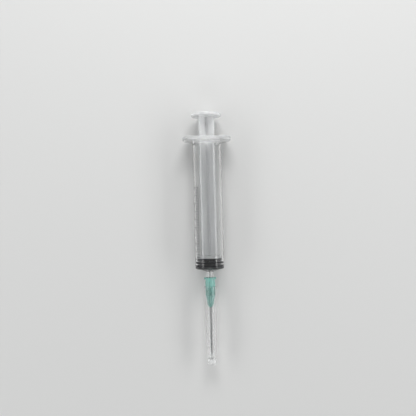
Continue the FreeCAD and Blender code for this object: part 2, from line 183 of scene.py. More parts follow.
def joined(pieces):
    pick(pieces[0])
    for piece in pieces:
        piece.select_set(True)
    bpy.ops.object.join()
    return pieces[0]


def applyModifier(piece, kind, **settings):
    pick(piece)
    modifier = piece.modifiers.new(kind.title(), kind)
    for setting, value in settings.items():
        setattr(modifier, setting, value)
    bpy.ops.object.modifier_apply(modifier=modifier.name)


def combine(piece, other, operation):
    applyModifier(piece, "BOOLEAN", object=other, operation=operation, solver="EXACT")
    bpy.data.objects.remove(other, do_unlink=True)


def smoothSurface(piece, degrees=34):
    pick(piece)
    bpy.ops.object.shade_smooth_by_angle(angle=math.radians(degrees))
    applyModifier(piece, "WEIGHTED_NORMAL", keep_sharp=True, weight=90)


def handOver(piece, body, node, material):
    piece.data.materials.clear()
    piece.data.materials.append(material)
    smoothSurface(piece)
    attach(piece, body)
    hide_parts(node)
    print(f"{piece.name}: {len(piece.data.polygons)} faces")


# Materials

def newMaterial(name):
    material = bpy.data.materials.new(name)
    material.use_nodes = True
    tree = material.node_tree
    return material, tree, tree.nodes["Principled BSDF"]


# Noise on the piece's own coordinates; stretch is its scale along each axis, in waves per metre.
def addNoise(tree, stretch, detail=3.0):
    place = tree.nodes.new("ShaderNodeTexCoord")
    mapping = tree.nodes.new("ShaderNodeMapping")
    mapping.inputs["Scale"].default_value = stretch
    noise = tree.nodes.new("ShaderNodeTexNoise")
    noise.inputs["Scale"].default_value = 1.0
    noise.inputs["Detail"].default_value = detail
    tree.links.new(place.outputs["Object"], mapping.inputs["Vector"])
    tree.links.new(mapping.outputs["Vector"], noise.inputs["Vector"])
    return noise


# Most of a noise lies between 0.3 and 0.7, and that part is stretched from low to high.
def spread(tree, source, low, high):
    band = tree.nodes.new("ShaderNodeMapRange")
    for socket, value in zip(("From Min", "From Max", "To Min", "To Max"), (0.3, 0.7, low, high)):
        band.inputs[socket].default_value = value
    tree.links.new(source, band.inputs["Value"])
    return band.outputs["Result"]


# A Mix node's sockets 6 and 7 are its two colours, each set here or linked, and output 2 the mix.
def mixColours(tree, share, one, other):
    mix = tree.nodes.new("ShaderNodeMix")
    mix.data_type = "RGBA"
    tree.links.new(share, mix.inputs[0])
    for socket, colour in ((mix.inputs[6], one), (mix.inputs[7], other)):
        if isinstance(colour, tuple):
            socket.default_value = colour + (1,)
        else:
            tree.links.new(colour, socket)
    return mix.outputs[2]


def addBump(tree, shader, source, strength, depth):
    bump = tree.nodes.new("ShaderNodeBump")
    bump.inputs["Strength"].default_value = strength
    bump.inputs["Distance"].default_value = depth
    tree.links.new(source, bump.inputs["Height"])
    tree.links.new(bump.outputs["Normal"], shader.inputs["Normal"])


# A value that changes softly. The limits are the source's start and end, then the values there,
# which for a cloud or a fin are the share of the clearness or colour that is left.
def fadeBetween(tree, source, limits):
    fade = tree.nodes.new("ShaderNodeMapRange")
    fade.interpolation_type = "SMOOTHSTEP"
    for socket, value in zip(("From Min", "From Max", "To Min", "To Max"), limits):
        fade.inputs[socket].default_value = value
    tree.links.new(source, fade.inputs["Value"])
    return fade.outputs["Result"]


def reckon(tree, operation, one, other):
    result = tree.nodes.new("ShaderNodeMath")
    result.operation = operation
    result.use_clamp = True
    tree.links.new(one, result.inputs[0])
    tree.links.new(other, result.inputs[1])
    return result.outputs["Value"]


def placeAlong(tree):
    place = tree.nodes.new("ShaderNodeTexCoord")
    parts = tree.nodes.new("ShaderNodeSeparateXYZ")
    tree.links.new(place.outputs["Object"], parts.inputs["Vector"])
    return parts.outputs["X"]


def distanceFromAxis(tree):
    place = tree.nodes.new("ShaderNodeTexCoord")
    mapping = tree.nodes.new("ShaderNodeMapping")
    mapping.inputs["Scale"].default_value = (0, 1, 1)
    mapping.inputs["Location"].default_value = (0, 0, -axisHeight)
    tree.links.new(place.outputs["Object"], mapping.inputs["Vector"])
    distance = tree.nodes.new("ShaderNodeVectorMath")
    distance.operation = "LENGTH"
    tree.links.new(mapping.outputs["Vector"], distance.inputs[0])
    return distance.outputs["Value"]


# Clear mouldings: a slight haze, flow lines along the piece and faintly wavy walls
def makeClearPlastic(name, look):
    material, tree, shader = newMaterial(name)
    shader.inputs["IOR"].default_value = look["ior"]
    flow = addNoise(tree, look["flowWaves"])
    haze = addNoise(tree, look["hazeWaves"])
    colour = mixColours(tree, haze.outputs["Fac"], look["colourLow"], look["colourHigh"])
    roughness = spread(tree, haze.outputs["Fac"], look["roughLow"], look["roughHigh"])
    tree.links.new(roughness, shader.inputs["Roughness"])
    clearness = spread(tree, flow.outputs["Fac"], look["clearLow"], look["clearHigh"])
    # A thick end holds more haze than a thin wall.
    if "cloud" in look:
        cloud = fadeBetween(tree, placeAlong(tree), look["cloud"])
        clearness = reckon(tree, "MULTIPLY", clearness, cloud)
    # The fins on the nose hold less colour than the core that they stand on, and look milkier.
    if "finColour" in look:
        ahead = fadeBetween(tree, placeAlong(tree), look["finStart"])
        outside = fadeBetween(tree, distanceFromAxis(tree), look["finRoot"])
        thin = reckon(tree, "MULTIPLY", ahead, outside)
        colour = mixColours(tree, thin, colour, look["finColour"])
        milky = fadeBetween(tree, thin, (0, 1, 1, look["finClear"]))
        clearness = reckon(tree, "MULTIPLY", clearness, milky)
    tree.links.new(colour, shader.inputs["Base Color"])
    tree.links.new(clearness, shader.inputs["Transmission Weight"])
    addBump(tree, shader, flow.outputs["Fac"], look["bumpStrength"], look["bumpDepth"] * mm)
    return material


barrelLook = {
    "ior": 1.49,
    "flowWaves": (30, 500, 500),
    "hazeWaves": (120, 260, 260),
    "colourLow": (0.97, 0.98, 0.98),
    "colourHigh": (0.99, 0.99, 0.99),
    "roughLow": 0.06,
    "roughHigh": 0.12,
    "clearLow": 0.985,
    "clearHigh": 1.0,
    "cloud": (barrelRear + 2.2 * mm, barrelRear + 5.5 * mm, 0.58, 1.0),
    "bumpStrength": 0.25,
    "bumpDepth": 0.02,
}
rodLook = {
    "ior": 1.49,
    "flowWaves": (40, 350, 350),
    "hazeWaves": (150, 300, 300),
    "colourLow": (0.97, 0.98, 0.985),
    "colourHigh": (0.99, 0.99, 0.99),
    "roughLow": 0.14,
    "roughHigh": 0.24,
    "clearLow": 0.34,
    "clearHigh": 0.46,
    "bumpStrength": 0.3,
    "bumpDepth": 0.03,
}
capLook = {
    "ior": 1.49,
    "flowWaves": (35, 600, 600),
    "hazeWaves": (150, 400, 400),
    "colourLow": (0.97, 0.98, 0.98),
    "colourHigh": (0.99, 0.99, 0.99),
    "roughLow": 0.05,
    "roughHigh": 0.1,
    "clearLow": 0.99,
    "clearHigh": 1.0,
    "cloud": (capFront - 4.6 * mm, capFront - 3.2 * mm, 1.0, 0.62),
    "bumpStrength": 0.25,
    "bumpDepth": 0.02,
}
hubLook = {
    "ior": 1.49,
    "flowWaves": (60, 500, 500),
    "hazeWaves": (250, 500, 500),
    "colourLow": (0.35, 0.75, 0.67),
    "colourHigh": (0.47, 0.83, 0.77),
    "roughLow": 0.15,
    "roughHigh": 0.25,
    "clearLow": 0.34,
    "clearHigh": 0.46,
    "finStart": (hubRear + 10.9 * mm, hubRear + 11.6 * mm, 0, 1),
    "finRoot": (1.85 * mm, 2.15 * mm, 0, 1),
    "finColour": (0.62, 0.93, 0.88),
    "finClear": 0.45,
    "bumpStrength": 0.3,
    "bumpDepth": 0.02,
}
resinLook = {
    "ior": 1.52,
    "flowWaves": (400, 400, 400),
    "hazeWaves": (600, 600, 600),
    "colourLow": (0.86, 0.88, 0.85),
    "colourHigh": (0.93, 0.94, 0.92),
    "roughLow": 0.08,
    "roughHigh": 0.15,
    "clearLow": 0.7,
    "clearHigh": 0.8,
    "bumpStrength": 0.2,
    "bumpDepth": 0.02,
}
barrelPlastic = makeClearPlastic("barrelPlastic", barrelLook)
rodPlastic = makeClearPlastic("rodPlastic", rodLook)
capPlastic = makeClearPlastic("capPlastic", capLook)
hubPlastic = makeClearPlastic("hubPlastic", hubLook)
setResin = makeClearPlastic("setResin", resinLook)


# Opaque finishes: one grain moves the colour, the roughness and the height together
def makeOpaque(name, look):
    material, tree, shader = newMaterial(name)
    grain = addNoise(tree, look["grainWaves"], look["grainDetail"])
    colour = mixColours(tree, grain.outputs["Fac"], look["colourLow"], look["colourHigh"])
    tree.links.new(colour, shader.inputs["Base Color"])
    roughness = spread(tree, grain.outputs["Fac"], look["roughLow"], look["roughHigh"])
    tree.links.new(roughness, shader.inputs["Roughness"])
    addBump(tree, shader, grain.outputs["Fac"], look["bumpStrength"], look["bumpDepth"] * mm)
    for socket, value in look["allOver"].items():
        shader.inputs[socket].default_value = value
    return material


# Moulded black rubber under a film of silicone oil
rubberLook = {
    "colourLow": (0.008, 0.009, 0.01),
    "colourHigh": (0.02, 0.021, 0.023),
    "roughLow": 0.32,
    "roughHigh": 0.48,
    "grainWaves": (2500, 2500, 2500),
    "grainDetail": 4.0,
    "bumpStrength": 0.4,
    "bumpDepth": 0.01,
    "allOver": {"Specular IOR Level": 0.22, "Coat Weight": 0.12, "Coat Roughness": 0.12},
}
# Drawn steel, with fine marks along the tube
steelLook = {
    "colourLow": (0.3, 0.3, 0.31),
    "colourHigh": (0.42, 0.42, 0.43),
    "roughLow": 0.16,
    "roughHigh": 0.3,
    "grainWaves": (150, 9000, 9000),
    "grainDetail": 3.0,
    "bumpStrength": 0.15,
    "bumpDepth": 0.003,
    "allOver": {"Metallic": 1.0},
}
# Printing ink, a little uneven in its cover
inkLook = {
    "colourLow": (0.012, 0.012, 0.016),
    "colourHigh": (0.035, 0.035, 0.042),
    "roughLow": 0.4,
    "roughHigh": 0.6,
    "grainWaves": (3000, 3000, 3000),
    "grainDetail": 3.0,
    "bumpStrength": 0.3,
    "bumpDepth": 0.004,
    "allOver": {},
}
sealRubber = makeOpaque("sealRubber", rubberLook)
drawnSteel = makeOpaque("drawnSteel", steelLook)
scaleInk = makeOpaque("scaleInk", inkLook)
print("materials ready")


# Barrel: tube with its front cone and nozzle, a finger flange and grip ridges, then the bore

barrel = {
    "outerRadius": 9.0,
    "boreRadius": 8.0,
    "boreEnd": 81.9,
    "boreEndRounding": 0.3,
    "boreConeEnd": 83.75,
    "boreConeRounding": 0.2,
    "shoulder": 83.15,
    "shoulderRounding": 0.6,
    "nozzleRoot": 84.95,
    "nozzleRootRadius": 2.3,
    "nozzleRootRounding": 0.35,
    "nozzleEnd": 94.95,
    "nozzleTipRadius": 2.0,
    "nozzleTipRounding": 0.25,
    "nozzleBore": 1.0,
    "flareRounding": 0.6,
    "flareMargin": 0.05,
    "flareOverlap": 0.02,
    "flangeRadius": 15.4,
    "flangeHalfDepth": 9.8,
    "flangeThickness": 2.2,
    "flangeCorner": 2.0,
    "flangeEdge": 0.5,
    "flangeEdgeSteps": 4,
    "wingSteps": 24,
    "cornerSteps": 8,
    "ridgeCount": 4,
    "ridgePitch": 1.25,
    "ridgeMargin": 0.9,
    "ridgeSize": (0.5, 0.5, 8.0),
    "ridgeRise": 0.3,
    "ridgeEdge": 0.15,
    "mouthRadius": 8.5,
    "mouthFlare": 0.4,
    "mouthLead": 1.2,
    "mouthRounding": 0.8,
    "beadStart": 3.2,
    "beadEnd": 4.8,
    "beadRadius": 7.7,
    "beadFootRounding": 0.4,
    "beadRounding": 0.6,
    "cutterOverrun": 1.0,  # the bore's cutter stands out this far at both ends
}


# The flange's face: two round wing ends and two flats, joined by rounded corners
def flangeFace(x, size):
    radius, half, corner = size["flangeRadius"], size["flangeHalfDepth"], size["flangeCorner"]
    centreUp = half - corner
    centreAcross = math.sqrt((radius - corner) ** 2 - centreUp ** 2)
    meeting = math.atan2(centreUp, centreAcross)
    quarter = []
    for step in range(size["wingSteps"] + 1):
        angle = meeting * step / size["wingSteps"]
        quarter.append((radius * math.cos(angle), radius * math.sin(angle)))
    for step in range(1, size["cornerSteps"] + 1):
        angle = meeting + (math.pi / 2 - meeting) * step / size["cornerSteps"]
        quarter.append((centreAcross + corner * math.cos(angle), centreUp + corner * math.sin(angle)))
    upperHalf = quarter + [(-across, up) for across, up in reversed(quarter)]
    loop = upperHalf + [(across, -up) for across, up in reversed(upperHalf[1:-1])]
    return [Vector((x, across * mm, axisHeight + up * mm)) for across, up in loop]


def makeBarrel(size):
    rear = barrelRear
    thickness = size["flangeThickness"]
    # The flare starts just inside the flange's front face, so that the two surfaces cross cleanly.
    flareX = thickness - size["flareOverlap"]
    flareRadius = size["outerRadius"] + size["flareRounding"] + size["flareMargin"]
    shell = spinOutline("barrel_shell", rear, [
        (thickness / 2, 0),
        (thickness / 2, flareRadius),
        (flareX, flareRadius),
        (flareX, size["outerRadius"], size["flareRounding"]),
        (size["shoulder"], size["outerRadius"], size["shoulderRounding"]),
        (size["nozzleRoot"], size["nozzleRootRadius"], size["nozzleRootRounding"]),
        (size["nozzleEnd"], size["nozzleTipRadius"], size["nozzleTipRounding"]),
        (size["nozzleEnd"], 0),
    ])
    flange = pullPlate("flange", flangeFace(rear, size), Vector((thickness * mm, 0, 0)))
    faces = (rear, rear + thickness * mm)
    softenEdges(flange, size["flangeEdge"] * mm, lambda one, other: any(
        abs(one.x - face) < near and abs(other.x - face) < near for face in faces
    ), size["flangeEdgeSteps"])
    combine(shell, flange, "UNION")
    wide, deep, tall = size["ridgeSize"]
    ridges = []
    for side in (1, -1):
        for index in range(size["ridgeCount"]):
            inset = size["ridgeMargin"] + size["ridgePitch"] * index + wide / 2
            across = (size["flangeRadius"] - inset) * side
            top = rear + (thickness + size["ridgeRise"]) * mm
            pick(None)
            bpy.ops.mesh.primitive_cube_add(
                size=mm, location=(top - deep / 2 * mm, across * mm, axisHeight), scale=(deep, wide, tall)
            )
            ridge = bpy.context.object
            bpy.ops.object.transform_apply(location=True, rotation=True, scale=True)
            softenEdges(
                ridge, size["ridgeEdge"] * mm, lambda one, other: min(one.x, other.x) > top - near
            )
            ridges.append(ridge)
    combine(shell, joined(ridges), "UNION")
    beadMiddle = (size["beadStart"] + size["beadEnd"]) / 2
    cutterEnd = size["nozzleEnd"] + size["cutterOverrun"]
    bore = spinOutline("bore", rear, [
        (-size["cutterOverrun"], 0),
        (-size["cutterOverrun"], size["mouthRadius"] + size["mouthFlare"]),
        (size["mouthLead"], size["boreRadius"], size["mouthRounding"]),
        (size["beadStart"], size["boreRadius"], size["beadFootRounding"]),
        (beadMiddle, size["beadRadius"], size["beadRounding"]),
        (size["beadEnd"], size["boreRadius"], size["beadFootRounding"]),
        (size["boreEnd"], size["boreRadius"], size["boreEndRounding"]),
        (size["boreConeEnd"], size["nozzleBore"], size["boreConeRounding"]),
        (cutterEnd, size["nozzleBore"]),
        (cutterEnd, 0),
    ])
    combine(shell, bore, "DIFFERENCE")
    return shell


barrelShell = makeBarrel(barrel)
handOver(barrelShell, "barrel", "barrel", barrelPlastic)


# Printed scale: ink lines wrapped round the barrel, and a plain number at each full millilitre

scale = {
    "millilitres": 10,
    "shortLinesEach": 4,
    "lineWidth": 0.34,
    "firstAngle": 41.0,  # from straight up, towards -Y
    "shortAngle": 19.0,
    "longAngle": 33.0,
    "arcSteps": 12,
    "inkThickness": 0.02,
    "inkLift": 0.012,
    "numeralHeight": 2.9,
    "numeralCurveSteps": 6,
    "numeralAngle": 84.0,
    "numeralStart": 1.0,  # how far out a numeral starts, before it is wrapped on the wall
    "cutCount": 5,  # cuts on each side of a numeral's middle, which let it bend round the wall
    "cutPitch": 0.35,
    "sealFront": 81.85,  # zero line, from the flange's rear face
}


def inkLine(name, x, sweep, size):
    radius = (barrel["outerRadius"] + size["inkLift"]) * mm
    start = math.radians(size["firstAngle"])
    halfWidth = size["lineWidth"] / 2 * mm
    ends = [
        Vector((x + side * halfWidth, -radius * math.sin(start), axisHeight + radius * math.cos(start)))
        for side in (-1, 1)
    ]
    line = traceLine(name, ends, False)
    bpy.ops.mesh.select_all(action="SELECT")
    centre = (x, 0, axisHeight)
    bpy.ops.mesh.spin(
        steps=size["arcSteps"], angle=math.radians(sweep), center=centre, axis=(-1, 0, 0)
    )
    leaveEdit()
    return line


def numeral(text, x, size):
    angle = math.radians(size["numeralAngle"])
    radius = (barrel["outerRadius"] + size["numeralStart"]) * mm
    pick(None)
    bpy.ops.object.text_add(location=(0, 0, 0))
    glyph = bpy.context.object
    glyph.data.body = text
    glyph.data.size = size["numeralHeight"] * mm
    glyph.data.align_x = "CENTER"
    glyph.data.align_y = "CENTER"
    glyph.data.resolution_u = size["numeralCurveSteps"]
    bpy.ops.object.convert(target="MESH")
    # The numeral's top points to the needle and its face away from the axis.
    out = Vector((0, -math.sin(angle), math.cos(angle)))
    up = Vector((1, 0, 0))
    right = up.cross(out)
    turn = Matrix((right, up, out)).transposed().to_4x4()
    turn.translation = Vector((x, 0, axisHeight)) + out * radius
    glyph.matrix_world = turn
    bpy.ops.object.transform_apply(location=True, rotation=True, scale=True)
    editAll(glyph)
    bpy.ops.mesh.remove_doubles(threshold=weld)
    for cut in range(-size["cutCount"], size["cutCount"] + 1):
        place = turn.translation + right * (cut * size["cutPitch"] * mm)
        bpy.ops.mesh.select_all(action="SELECT")
        bpy.ops.mesh.bisect(plane_co=place, plane_no=right)
    leaveEdit()
    return glyph


def makeScale(size):
    zero = barrelRear + size["sealFront"] * mm
    millilitre = 1000 / (math.pi * barrel["boreRadius"] ** 2) * mm  # it is 1000 cubic millimetres
    small = millilitre / (size["shortLinesEach"] + 1)
    longLines = inkLine("long_lines", zero, size["longAngle"], size)
    applyModifier(
        longLines, "ARRAY", count=size["millilitres"] + 1, use_relative_offset=False,
        use_constant_offset=True, constant_offset_displace=(-millilitre, 0, 0),
    )
    shortLines = inkLine("short_lines", zero - small, size["shortAngle"], size)
    for count, pitch in ((size["shortLinesEach"], small), (size["millilitres"], millilitre)):
        applyModifier(
            shortLines, "ARRAY", count=count, use_relative_offset=False,
            use_constant_offset=True, constant_offset_displace=(-pitch, 0, 0),
        )
    numerals = [
        numeral(str(number), zero - millilitre * number, size)
        for number in range(1, size["millilitres"] + 1)
    ]
    numbers = joined(numerals)
    applyModifier(
        numbers, "SHRINKWRAP", target=barrelShell, wrap_method="NEAREST_SURFACEPOINT",
        wrap_mode="ABOVE_SURFACE", offset=size["inkLift"] * mm,
    )
    marks = joined([longLines, shortLines, numbers])
    marks.name = "scale_marks"
    editAll(marks)
    bpy.ops.mesh.normals_make_consistent(inside=False)
    leaveEdit()
    applyModifier(marks, "SOLIDIFY", thickness=size["inkThickness"] * mm, offset=0)
    return marks


scaleMarks = makeScale(scale)
handOver(scaleMarks, "barrel", "scale_print", scaleInk)


# Plunger rod: thumb rest with ring grooves, a core, four webs, the disc and the button

rod = {
    "thumbRadius": 9.5,
    "thumbThickness": 2.0,
    "thumbEdge": 0.6,
    "grooveMargin": 1.45,
    "groovePitch": 2.2,
    "grooveWidth": 0.8,
    "grooveDepth": 0.35,
    "grooveCount": 3,
    "grooveEdge": 0.12,
    "grooveRounding": 0.15,
    "coreRadius": 1.3,
    "coreRearRounding": 0.5,
    "coreFrontRounding": 0.4,
    "discStart": 90.05,
    "discEnd": 91.85,
    "discRadius": 7.7,
    "discRounding": 0.3,
    "neckRadius": 2.1,
    "neckRounding": 0.2,
    "neckEnd": 93.15,
    "buttonRadius": 3.4,
    "buttonRounding": 0.15,
    "buttonRimEnd": 93.65,
    "buttonEnd": 95.65,
    "buttonTipRadius": 1.6,
    "buttonTipRounding": 0.4,
    "webSpan": 13.2,
    "webThickness": 1.1,
    "webEdge": 0.2,
    "webTurns": (45, -45),  # two crossing plates make the four webs
}


def makeRod(size):
    rear = rodLow.x
    edge, foot = size["grooveEdge"], size["grooveRounding"]
    grooves = []
    for index in reversed(range(size["grooveCount"])):
        outer = size["thumbRadius"] - size["grooveMargin"] - size["groovePitch"] * index
        inner = outer - size["grooveWidth"]
        depth = size["grooveDepth"]
        grooves += [(0, inner, edge), (depth, inner, foot), (depth, outer, foot), (0, outer, edge)]
    piece = spinOutline("rod", rear, [
        (0, 0),
        *grooves,
        (0, size["thumbRadius"], size["thumbEdge"]),
        (size["thumbThickness"], size["thumbRadius"], size["thumbEdge"]),
        (size["thumbThickness"], size["coreRadius"], size["coreRearRounding"]),
        (size["discStart"], size["coreRadius"], size["coreFrontRounding"]),
        (size["discStart"], size["discRadius"], size["discRounding"]),
        (size["discEnd"], size["discRadius"], size["discRounding"]),
        (size["discEnd"], size["neckRadius"], size["neckRounding"]),
        (size["neckEnd"], size["neckRadius"]),
        (size["neckEnd"], size["buttonRadius"], size["buttonRounding"]),
        (size["buttonRimEnd"], size["buttonRadius"], size["buttonRounding"]),
        (size["buttonEnd"], size["buttonTipRadius"], size["buttonTipRounding"]),
        (size["buttonEnd"], 0),
    ])
    start = rear + size["thumbThickness"] / 2 * mm
    end = rear + (size["discStart"] + size["discEnd"]) / 2 * mm
    for degrees in size["webTurns"]:
        pick(None)
        bpy.ops.mesh.primitive_cube_add(
            size=1, location=((start + end) / 2, 0, axisHeight),
            scale=(end - start, size["webThickness"] * mm, size["webSpan"] * mm),
        )
        web = bpy.context.object
        bpy.ops.object.transform_apply(location=True, rotation=True, scale=True)
        softenEdges(web, size["webEdge"] * mm, lambda one, other: abs(one.x - other.x) > near)
        turnAboutAxis(web, degrees)
        combine(piece, web, "UNION")
    piece.name = "rod_moulding"
    return piece


handOver(makeRod(rod), "rod", "plunger_rod", rodPlastic)


# Plunger seal: three ribs and a cone. The two front ribs and the cone press against the barrel,
# so they look wet there.

seal = {
    "rearRibRadius": 7.85,
    "rearEdge": 0.25,
    "rearRibRounding": 0.3,
    "frontRibs": 2,
    "ribRadius": 8.02,
    "ribLength": 1.2,
    "ribRounding": 0.2,
    "grooveRadius": 7.05,
    "grooveLength": 0.75,
    "grooveSlope": 0.1,
    "grooveRounding": 0.25,
    "conePress": 0.07,
    "coneEdge": 0.05,
    "noseEnd": 7.04,
    "noseRadius": 0.9,
    "noseRounding": 0.5,
    "socketNeck": 2.16,
    "socketWide": 3.46,
    "socketTip": 1.66,
    "socketStep": 1.19,
    "socketRimEnd": 1.81,
    "socketEnd": 3.81,
    "socketMouthEdge": 0.15,
}


def makeSeal(size):
    x = size["ribLength"]
    slope = size["grooveSlope"]
    ribs = [(0, size["rearRibRadius"], size["rearEdge"])]
    ribs += [(x, size["rearRibRadius"], size["rearRibRounding"])]
    for _ in range(size["frontRibs"]):
        ribs += [(x + slope, size["grooveRadius"], size["grooveRounding"])]
        x += size["grooveLength"]
        ribs += [(x - slope, size["grooveRadius"], size["grooveRounding"])]
        ribs += [(x, size["ribRadius"], size["ribRounding"])]
        x += size["ribLength"]
        ribs += [(x, size["ribRadius"], size["ribRounding"])]
    ribs[-1] = (x + size["conePress"], size["ribRadius"], size["coneEdge"])
    return spinOutline("seal", sealRear, [
        (size["socketEnd"], 0),
        (size["socketEnd"], size["socketTip"]),
        (size["socketRimEnd"], size["socketWide"]),
        (size["socketStep"], size["socketWide"]),
        (size["socketStep"], size["socketNeck"]),
        (0, size["socketNeck"], size["socketMouthEdge"]),
        *ribs,
        (size["noseEnd"], size["noseRadius"], size["noseRounding"]),
        (size["noseEnd"], 0),
    ])


handOver(makeSeal(seal), "seal", "plunger_seal", sealRubber)


# Needle hub: tapered socket, stepped nose, two lugs, and four ribs that run out into fins

hub = {
    "socketMouth": 2.216,
    "socketFloor": 1.991,
    "socketDepth": 7.5,
    "socketRounding": 0.2,
    "mouthEdge": 0.12,
    "skirtEdge": 0.25,
    "skirtRadius": 2.9,
    "waistRadius": 2.6,
    "skirtLength": 10.8,
    "stepEnd": 11.3,
    "stepEdge": 0.2,
    "stepRounding": 0.25,
    "noseRoot": 1.9,
    "noseTip": 1.35,
    "noseEdge": 0.15,
    "length": 18.5,
    "wellRadius": 0.95,
    "wellFloor": 17.0,
    "wellEdge": 0.1,
    "tubeHole": 0.43,
    "roundSteps": 96,
    "ribCount": 4,
    "ribStart": 2.2,
    "ribTop": 3.07,
    "ribRoot": 2.4,
    "ribThickness": 0.8,
    "ribCorner": 0.2,
    "ribShoulder": 0.6,
    "ribEdge": 0.12,
    "ribArcSteps": 4,
    "finEnd": 17.5,
    "finTop": 1.7,
    "finRoot": 1.0,
    "lugReach": 3.8,
    "lugRoot": 2.55,
    "lugWidth": 2.6,
    "lugThickness": 1.2,
    "lugEdge": 0.2,
}


def makeHub(size):
    rear = hubRear
    piece = spinOutline("hub", rear, [
        (0, size["socketMouth"], size["mouthEdge"]),
        (0, size["skirtRadius"], size["skirtEdge"]),
        (size["skirtLength"], size["waistRadius"], size["stepEdge"]),
        (size["stepEnd"], size["noseRoot"], size["stepRounding"]),
        (size["length"], size["noseTip"], size["noseEdge"]),
        (size["length"], size["wellRadius"], size["wellEdge"]),
        (size["wellFloor"], size["wellRadius"]),
        (size["wellFloor"], size["tubeHole"]),
        (size["socketDepth"], size["tubeHole"]),
        (size["socketDepth"], size["socketFloor"], size["socketRounding"]),
    ], isClosed=True, steps=size["roundSteps"])
    ribFace = [
        (size["ribStart"], size["ribRoot"]),
        (size["ribStart"], size["ribTop"], size["ribCorner"]),
        (size["skirtLength"], size["ribTop"], size["ribShoulder"]),
        (size["finEnd"], size["finTop"], size["ribCorner"]),
        (size["finEnd"], size["finRoot"]),
        (size["stepEnd"], size["finRoot"]),
        (size["skirtLength"], size["ribRoot"]),
    ]
    half = size["ribThickness"] / 2 * mm
    corners = [
        Vector((rear + point.x * mm, -half, axisHeight + point.y * mm))
        for point in roundCorners(ribFace, size["ribArcSteps"])
    ]
    rib = pullPlate("rib", corners, Vector((0, half * 2, 0)))
    outward = axisHeight + size["finRoot"] * mm + near
    softenEdges(rib, size["ribEdge"] * mm, lambda one, other: (
        abs(one.y - other.y) < near and min(one.z, other.z) > outward
    ))
    for index in range(size["ribCount"]):
        turned = copyOf(rib, "rib_copy")
        turnAboutAxis(turned, 360 / size["ribCount"] * index)
        combine(piece, turned, "UNION")
    bpy.data.objects.remove(rib, do_unlink=True)
    for side in (1, -1):
        reach, root = size["lugReach"] * side * mm, size["lugRoot"] * side * mm
        pick(None)
        bpy.ops.mesh.primitive_cube_add(
            size=1, location=(rear + size["lugThickness"] / 2 * mm, (reach + root) / 2, axisHeight),
            scale=(size["lugThickness"] * mm, abs(reach - root), size["lugWidth"] * mm),
        )
        lug = bpy.context.object
        bpy.ops.object.transform_apply(location=True, rotation=True, scale=True)
        softenEdges(lug, size["lugEdge"] * mm, lambda one, other: (
            min(abs(one.y), abs(other.y)) > abs(root) + near
        ))
        combine(piece, lug, "UNION")
    piece.name = "hub_moulding"
    return piece


handOver(makeHub(hub), "needle", "needle_hub", hubPlastic)


# Resin in the hub's nose, drawn up round the tube

resin = {
    "inner": 0.42,
    "outer": 0.94,
    "depth": 1.5,
    "rimRounding": 0.05,
    "shoulder": 0.72,
    "shoulderRounding": 0.3,
    "rise": 0.22,
    "tipRadius": 0.47,
    "length": 2.05,
    "roundSteps": 48,
}


def makeResin(size):
    return spinOutline("resin_fillet", resinRear, [
        (0, size["inner"]),
        (0, size["outer"]),
        (size["depth"], size["outer"], size["rimRounding"]),
        (size["depth"] + size["rise"], size["shoulder"], size["shoulderRounding"]),
        (size["length"], size["tipRadius"]),
        (size["length"], size["inner"]),
    ], isClosed=True, steps=size["roundSteps"])


handOver(makeResin(resin), "needle", "hub_adhesive", setResin)


# Needle tube, ground to a main bevel and two lancet faces

tube = {
    "radius": 0.41,
    "bore": 0.255,
    "length": 41.0,
    "rearEdge": 0.04,
    "roundSteps": 48,
    "edgeSteps": 3,
    "bevelDegrees": 12.0,
    "lancetDegrees": 19.0,
    "lancetTurn": 34.0,
    "lancetShare": 0.55,
    "blockMargin": 1.0,  # a grinding block reaches this far past the point and the bevel's heel
    "blockHeight": 2.0,
    "blockHalfWidth": 2.0,
}


# A block whose lower face is a ground plane through the point, sloping up and back from it
def grindingBlock(rise, reach, turn, size):
    margin = size["blockMargin"]
    front = size["length"] + margin
    back = size["length"] - reach - margin
    top = size["radius"] + size["blockHeight"]
    slope = rise / reach
    corners = [
        (front, -size["radius"] - slope * margin),
        (front, top),
        (back, top),
        (back, -size["radius"] + slope * (reach + margin)),
    ]
    half = size["blockHalfWidth"] * mm
    points = [
        Vector((tubeRear + along * mm, -half, axisHeight + up * mm)) for along, up in corners
    ]
    block = pullPlate("grinding_block", points, Vector((0, half * 2, 0)))
    if turn:
        turnAboutAxis(block, turn)
    return block


def makeTube(size):
    piece = spinOutline("needle_steel", tubeRear, [
        (0, size["bore"]),
        (0, size["radius"], size["rearEdge"]),
        (size["length"], size["radius"]),
        (size["length"], size["bore"]),
    ], isClosed=True, steps=size["roundSteps"], arcSteps=size["edgeSteps"])
    bevelReach = size["radius"] * 2 / math.tan(math.radians(size["bevelDegrees"]))
    combine(piece, grindingBlock(size["radius"] * 2, bevelReach, 0, size), "DIFFERENCE")
    lancetReach = bevelReach * size["lancetShare"]
    lancetRise = lancetReach * math.tan(math.radians(size["lancetDegrees"]))
    for turn in (size["lancetTurn"], -size["lancetTurn"]):
        combine(piece, grindingBlock(lancetRise, lancetReach, turn, size), "DIFFERENCE")
    return piece


handOver(makeTube(tube), "needle", "needle_tube", drawnSteel)


# Needle cap: a long clear sleeve with a rim at its mouth and a solid rounded end

cap = {
    "gripRadius": 3.126,
    "gripLength": 5.6,
    "gripRounding": 2.0,
    "mouthEdge": 0.15,
    "rimRadius": 3.7,
    "rimLength": 1.2,
    "rimRearEdge": 0.2,
    "rimFrontEdge": 0.15,
    "rimFootRounding": 0.04,
    "bodyRadius": 3.5,
    "tipRadius": 2.75,
    "tipRounding": 2.1,
    "length": 49.2,
    "cavityEnd": 45.3,
    "cavityTip": 1.6,
    "cavityRounding": 0.7,
    "roundSteps": 96,
    "arcSteps": 7,
}


